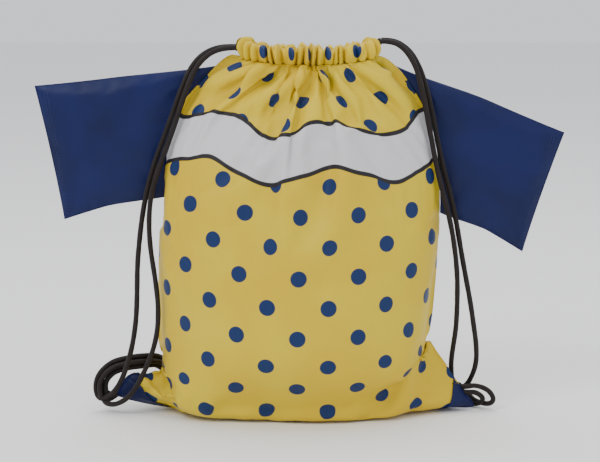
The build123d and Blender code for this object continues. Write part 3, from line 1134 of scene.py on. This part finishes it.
def whole_route(strand, bundle, lanes, homing, tab, sign, settle, lane):
    """A strand from the hem to its knot: down, out along the bundle, round, and home to the tab."""
    count = len(bundle)
    out = [in_lane(bundle, k, lanes["start"][0], lanes["floor"][0], sign, settle) for k in range(count)]
    home = [in_lane(bundle, k, lanes["start"][1], lanes["floor"][1], sign, settle) for k in range(count)]
    along = Vector(bundle[-1]) - Vector(bundle[-2])
    along.z = 0
    along.normalize()
    across = (Vector(home[-1]) - Vector(out[-1])).normalized()
    middle = (Vector(home[-1]) + Vector(out[-1])) / 2
    turn = [middle + along * a * TURN_LONG[lane] + across * b for a, b in TURN]
    for place in turn:
        place.z = max(place.z, LOWEST)
    if sign > 0:
        out = out[1:]  # the right strands already end beside the bundle's first point
    level = LEVEL[lane]
    last = [at_tab(tab, x, y, level) for x, y in CORD_HOME] + [at_tab(tab, KNOT_AWAY, KNOT_LIFT, level / 2)]
    return strand + out + [tuple(p) for p in turn] + home[::-1] + homing + last


def spline_points(name, route):
    """The smooth line of a route whose points are its control points, in metres."""
    curve = bpy.data.curves.new(name, "CURVE")
    curve.dimensions = "3D"
    curve.resolution_u = 16
    spline = curve.splines.new("NURBS")
    spline.points.add(len(route) - 1)
    for point, place in zip(spline.points, route):
        point.co = (*(c * MM for c in place), 1)
    spline.order_u = 3
    spline.use_endpoint_u = True
    holder = bpy.data.objects.new(name, curve)
    mesh = bpy.data.meshes.new_from_object(holder)
    places = np.array([v.co for v in mesh.vertices])
    bpy.data.objects.remove(holder)
    return places


def even_points(places, step):
    """The same line with points at even distances."""
    lengths = np.concatenate([[0], np.cumsum(np.linalg.norm(np.diff(places, axis=0), axis=1))])
    count = max(3, round(lengths[-1] / step) + 1)
    marks = np.linspace(0, lengths[-1], count)
    return np.stack([np.interp(marks, lengths, places[:, k]) for k in range(3)], axis=-1), lengths[-1]


BRAID_SIDES = 24
BRAID_STEP = 0.0009
BRAID_RELIEF = 0.00028
BRAID_SUNK = 0.00008
BRAID_YARNS = 4  # in each of the two families
BRAID_LAY = 0.0075  # along the cord for one turn of a yarn


def braid_mesh(name, line, radius=CORD / 2):
    """A round braid along a line: two families of yarns wind opposite ways, over and under."""
    count = len(line)
    tangent = np.gradient(line, axis=0)
    tangent /= np.linalg.norm(tangent, axis=1, keepdims=True)
    side = np.empty_like(line)
    start = np.cross(tangent[0], (0, 0, 1.0))
    if np.linalg.norm(start) < 0.2:
        start = np.cross(tangent[0], (1.0, 0, 0))
    for k in range(count):
        start = start - tangent[k] * start.dot(tangent[k])
        start = start / np.linalg.norm(start)
        side[k] = start
    other = np.cross(tangent, side)
    along = np.concatenate([[0], np.cumsum(np.linalg.norm(np.diff(line, axis=0), axis=1))])
    angle = TAU * np.arange(BRAID_SIDES) / BRAID_SIDES
    turn = TAU * along / BRAID_LAY
    right = np.cos(BRAID_YARNS * (angle[None, :] + turn[:, None]))
    left = np.cos(BRAID_YARNS * (angle[None, :] - turn[:, None]))
    relief = np.maximum(right, left) - 0.5
    reach = radius - BRAID_SUNK + BRAID_RELIEF * relief
    places = line[:, None] + reach[..., None] * (
        np.cos(angle)[None, :, None] * side[:, None] + np.sin(angle)[None, :, None] * other[:, None])
    faces = []
    for k in range(count - 1):
        for q in range(BRAID_SIDES):
            a, b = k * BRAID_SIDES + q, k * BRAID_SIDES + (q + 1) % BRAID_SIDES
            faces.append((a, b, b + BRAID_SIDES, a + BRAID_SIDES))
    faces.append(tuple(range(BRAID_SIDES))[::-1])
    faces.append(tuple(range((count - 1) * BRAID_SIDES, count * BRAID_SIDES)))
    mesh = bpy.data.meshes.new(name)
    mesh.from_pydata([tuple(p) for p in places.reshape(-1, 3)], [], faces)
    layer = mesh.uv_layers.new(name="cut")
    for face in mesh.polygons:
        for loop in face.loop_indices:
            vertex = mesh.loops[loop].vertex_index
            k, q = divmod(vertex, BRAID_SIDES)
            layer.data[loop].uv = (along[k], q / BRAID_SIDES * TAU * radius)
    mesh.shade_smooth()
    return link(name, mesh)


def make_cords(yarn):
    """All four strands, each from its hole in the hem to its knot."""
    made = {}
    for side, sign, settle, routes, bundle, homing, tab in (
        ("left", -1, (4, 7), LEFT_ROUTES, LEFT_BUNDLE, LEFT_HOMING, LEFT_TAB),
        ("right", 1, (-2, -1), RIGHT_ROUTES, RIGHT_BUNDLE, RIGHT_HOMING, RIGHT_TAB),
    ):
        for lane, lanes in (("inner", LOWER_LANES), ("outer", UPPER_LANES)):
            name = f"{side}_cord_{lane}_strand"
            route = whole_route(routes[lane], bundle, lanes, homing[lane], tab, sign, settle, lane)
            line, length = even_points(spline_points(name, route), BRAID_STEP)
            cord = braid_mesh(f"{name}_braid", line)
            nodes = [name] + ([f"{side}_cord_bundle"] if lane == "inner" else [])
            finish_piece(cord, "bag", "cord", yarn, *nodes)
            made[name] = (cord, route, line, length)
    return made


# Inside the hem, in millimetres: from the mouth's middle to the far bend, and how the cord dips between.
HIDDEN_HALF = 54
DIP_HALF = 66
HIDDEN_DIP = {"left": 9.5, "right": 11.2}


def make_hidden_cord(side, yarn):
    """A cord's stretch inside the hem, which dips with it: along the front, round and home."""
    end, strand = (-1, LEFT_INNER_ROUTE) if side == "left" else (1, RIGHT_INNER_ROUTE)
    exit_x, front, height = strand[0]
    middle = MOUTH_X / MM
    far = middle - end * HIDDEN_HALF
    run = [exit_x + (far - exit_x) * k / 7 for k in range(8)]
    angles = [math.pi * k / 4 for k in (1, 2, 3)]
    bend = [(far + end * front * math.sin(a), front * math.cos(a)) for a in angles]
    flat = [(x, front) for x in run] + bend + [(x, -front) for x in run[::-1]]
    dip = HIDDEN_DIP[side]
    route = [(x, y, height - dip * max(0, 1 - ((x - middle) / DIP_HALF) ** 4)) for x, y in flat]
    line = even_points(spline_points(f"{side}_hidden", route), BRAID_STEP)[0]
    cord = braid_mesh(f"{side}_cord_in_hem_braid", line)
    finish_piece(cord, "bag", "cord", yarn, f"{side}_cord_in_hem")


KNOT_WIDE = 2.35  # the unit of the knot's trefoil, in millimetres
KNOT_POINTS = 150


def make_knot(side, yarn):
    """Both cord ends tied in one overhand knot, with two short tails down to the floor."""
    tab = LEFT_TAB if side == "left" else RIGHT_TAB
    loop = []
    for k in range(KNOT_POINTS + 1):
        a = TAU * k / KNOT_POINTS
        reach = KNOT_WIDE * (2 + math.cos(3 * a))
        x = KNOT_AWAY + 2 + 0.85 * reach * math.cos(2 * a)
        y = KNOT_LIFT + 1.1 * KNOT_WIDE * math.sin(3 * a)
        loop.append(at_tab(tab, x, y, reach * math.sin(2 * a)))
    lines = [loop]
    floor_level = 4 - tab[0].z
    for k, apart in enumerate((-3.4, 3.4)):
        tail = ((2, 1 / 3, -1), (5 + 2 * k, 0.6, -7), (6 + 3 * k, 1, -12), (8 + 4 * k, 1.3, floor_level))
        lines.append([at_tab(tab, KNOT_AWAY + x, KNOT_LIFT + apart * y, z) for x, y, z in tail])
    parts = []
    for k, places in enumerate(lines):
        route = spline_points(f"knot_{k}", places)
        parts.append(braid_mesh(f"{side}_knot_part_{k}", even_points(route, BRAID_STEP)[0]))
    select_only(*parts)
    bpy.ops.object.join()
    parts[0].name = f"{side}_overhand_knot"
    return finish_piece(parts[0], "bag", "cord", yarn, f"{side}_cord_knot")


# The tape's width, its thickness, and its way round the cords: away from the corner, and up.
TAB_WIDE = 12.0
TAB_THICK = 0.0011
TAB_PROFILE = [
    (-4, -6.6), (3, -6.6), (7.6, -5.6), (9.9, -2.6), (10.2, 1.2), (8.6, 4.9), (4.5, 6.5), (-4, 6.6),
]


def make_tab(side, tape):
    """A strip of tape folded round both cords, its ends sewn in the corner's seam."""
    tab = LEFT_TAB if side == "left" else RIGHT_TAB
    bpy.ops.object.select_all(action="DESELECT")
    bpy.ops.mesh.primitive_plane_add(size=TAB_WIDE)
    strip = bpy.context.object
    strip.name = f"{side}_folded_tape"
    bpy.ops.object.mode_set(mode="EDIT")
    bpy.ops.mesh.select_all(action="SELECT")
    first, second = TAB_PROFILE[:2]
    bpy.ops.transform.resize(value=(1, (second[0] - first[0]) / TAB_WIDE, 1))
    bpy.ops.transform.translate(value=(0, (first[0] + second[0]) / 2, first[1]))
    bpy.ops.mesh.select_all(action="DESELECT")
    bpy.ops.object.mode_set(mode="OBJECT")
    for vertex in strip.data.vertices:
        vertex.select = vertex.co.y > second[0] - 0.01
    for edge in strip.data.edges:
        edge.select = all(strip.data.vertices[v].select for v in edge.vertices)
    bpy.ops.object.mode_set(mode="EDIT")
    for before, after in zip(TAB_PROFILE[1:], TAB_PROFILE[2:]):
        step = (0, after[0] - before[0], after[1] - before[1])
        bpy.ops.mesh.extrude_region_move(TRANSFORM_OT_translate={"value": step})
    bpy.ops.mesh.select_all(action="SELECT")
    bpy.ops.mesh.subdivide(number_cuts=2)
    bpy.ops.mesh.normals_make_consistent(inside=False)
    bpy.ops.object.mode_set(mode="OBJECT")
    for vertex in strip.data.vertices:
        vertex.co = Vector(at_tab(tab, *vertex.co)) * MM
    wall = strip.modifiers.new("tape", "SOLIDIFY")
    wall.thickness = TAB_THICK
    wall.offset = 0
    smooth = strip.modifiers.new("smooth", "SUBSURF")
    smooth.levels = smooth.render_levels = 1
    apply_modifiers(strip)
    strip.data.shade_smooth()
    return finish_piece(strip, "bag", "tab_webbing", tape, f"{side}_loop_tab")


def make_tied_end(side, yarn, tape):
    """The loop tab and the knot."""
    make_tab(side, tape)
    knot = make_knot(side, yarn)


# ---------------------------------------------------------------- stitching

STITCH_LONG = 0.0022
STITCH_PITCH = 0.0031
STITCH_RADIUS = 0.00026
STITCH_SIDES = 6
STITCH_RINGS = 5
EDGE_TO_ROW = 0.0022  # from a sewn edge to its row of stitches


def stitch_row(name, line, outward, slot, material, body="bag"):
    """Short raised threads along a line on the cloth, each dipping in at its ends."""
    lengths = np.concatenate([[0], np.cumsum(np.linalg.norm(np.diff(line, axis=0), axis=1))])

    def along_row(values, mark):
        return np.array([np.interp(mark, lengths, values[:, k]) for k in range(3)])

    places, faces = [], []
    for n in range(int(lengths[-1] / STITCH_PITCH)):
        base = len(places)
        for r in range(STITCH_RINGS):
            share = r / (STITCH_RINGS - 1)
            mark = n * STITCH_PITCH + STITCH_LONG * share
            along = along_row(line, mark + 0.0004) - along_row(line, mark - 0.0004)
            along /= max(np.linalg.norm(along), 1e-9)
            up = along_row(outward, mark)
            up /= max(np.linalg.norm(up), 1e-9)
            cross = np.cross(along, up)
            arch = math.sin(math.pi * share)
            radius = STITCH_RADIUS * (0.45 + 0.55 * arch**0.5)
            middle = along_row(line, mark) + up * (STITCH_RADIUS * (1.3 * arch - 0.5))
            for q in range(STITCH_SIDES):
                angle = TAU * q / STITCH_SIDES
                places.append(middle + radius * (math.cos(angle) * cross + math.sin(angle) * up))
        for r in range(STITCH_RINGS - 1):
            ring = base + r * STITCH_SIDES
            for q in range(STITCH_SIDES):
                a, b = ring + q, ring + (q + 1) % STITCH_SIDES
                faces.append((a, a + STITCH_SIDES, b + STITCH_SIDES, b))
        faces.append(tuple(range(base, base + STITCH_SIDES)))
        faces.append(tuple(range(len(places) - STITCH_SIDES, len(places)))[::-1])
    mesh = bpy.data.meshes.new(name)
    mesh.from_pydata([tuple(p) for p in places], [], faces)
    mesh.shade_smooth()
    return finish_piece(link(name, mesh), body, slot, material)


def make_stitching(side, surfaces, thread):
    """The visible rows on one face: along the foot of the hem and round the patches."""
    outward = 1 if side < 0 else -1
    name = SIDE_NAMES[side]
    u = np.linspace(-0.92, 0.92, 900) * CUT_WIDE / 2
    v = np.full_like(u, CUT_TALL - EDGE_TO_ROW)
    line = cloth_points(surfaces, side, u, v)
    normals = surfaces[side].normals(u, v, outward)
    stitch_row(f"{name}_hem_stitches", line, normals, "yellow_cloth", thread[0])
    for corner, label in ((-1, "left"), (1, "right")):
        a = np.linspace(0.002, PATCH_BOTTOM - 0.004, 200)
        b = np.maximum(patch_edge(a) - EDGE_TO_ROW, 0.0012)
        u = corner * (CUT_WIDE / 2 - a)
        line = cloth_points(surfaces, side, u, b, PATCH_LIFT + CLOTH_THICK)
        normals = surfaces[side].normals(u, b, outward)
        stitch_row(f"{label}_corner_{name}_stitches", line, normals, "navy_cloth", thread[1])


# ---------------------------------------------------------------- build

make_camera()
make_lights()
floor = make_floor()
yellow = yellow_cloth()
navy = navy_cloth()
yarn = cord_yarn()
tape = webbing()
thread = (thread_material("yellow_thread", YELLOW_THREAD), thread_material("navy_thread", NAVY_THREAD))
cords = make_cords(yarn)
sack_grids, sleeve_sets = simulate(floor)
surfaces = sack_surfaces(keep_apart(sack_grids))
panels = make_panels(surfaces, yellow)
hems = [make_hem(side, yellow) for side in (-1, 1)]
for name, corner in (("left", -1), ("right", 1)):
    for side in (-1, 1):
        patch = make_patch(name, side, surfaces, corner, navy)
    sleeve, grids = sleeve_sets[name]
    for layer in make_sleeve_layers(name, sleeve, grids, surfaces, navy, thread[1]):
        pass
for side in ("left", "right"):
    make_tied_end(side, yarn, tape)
    make_hidden_cord(side, yarn)
for side in (-1, 1):
    make_stitching(side, surfaces, thread)
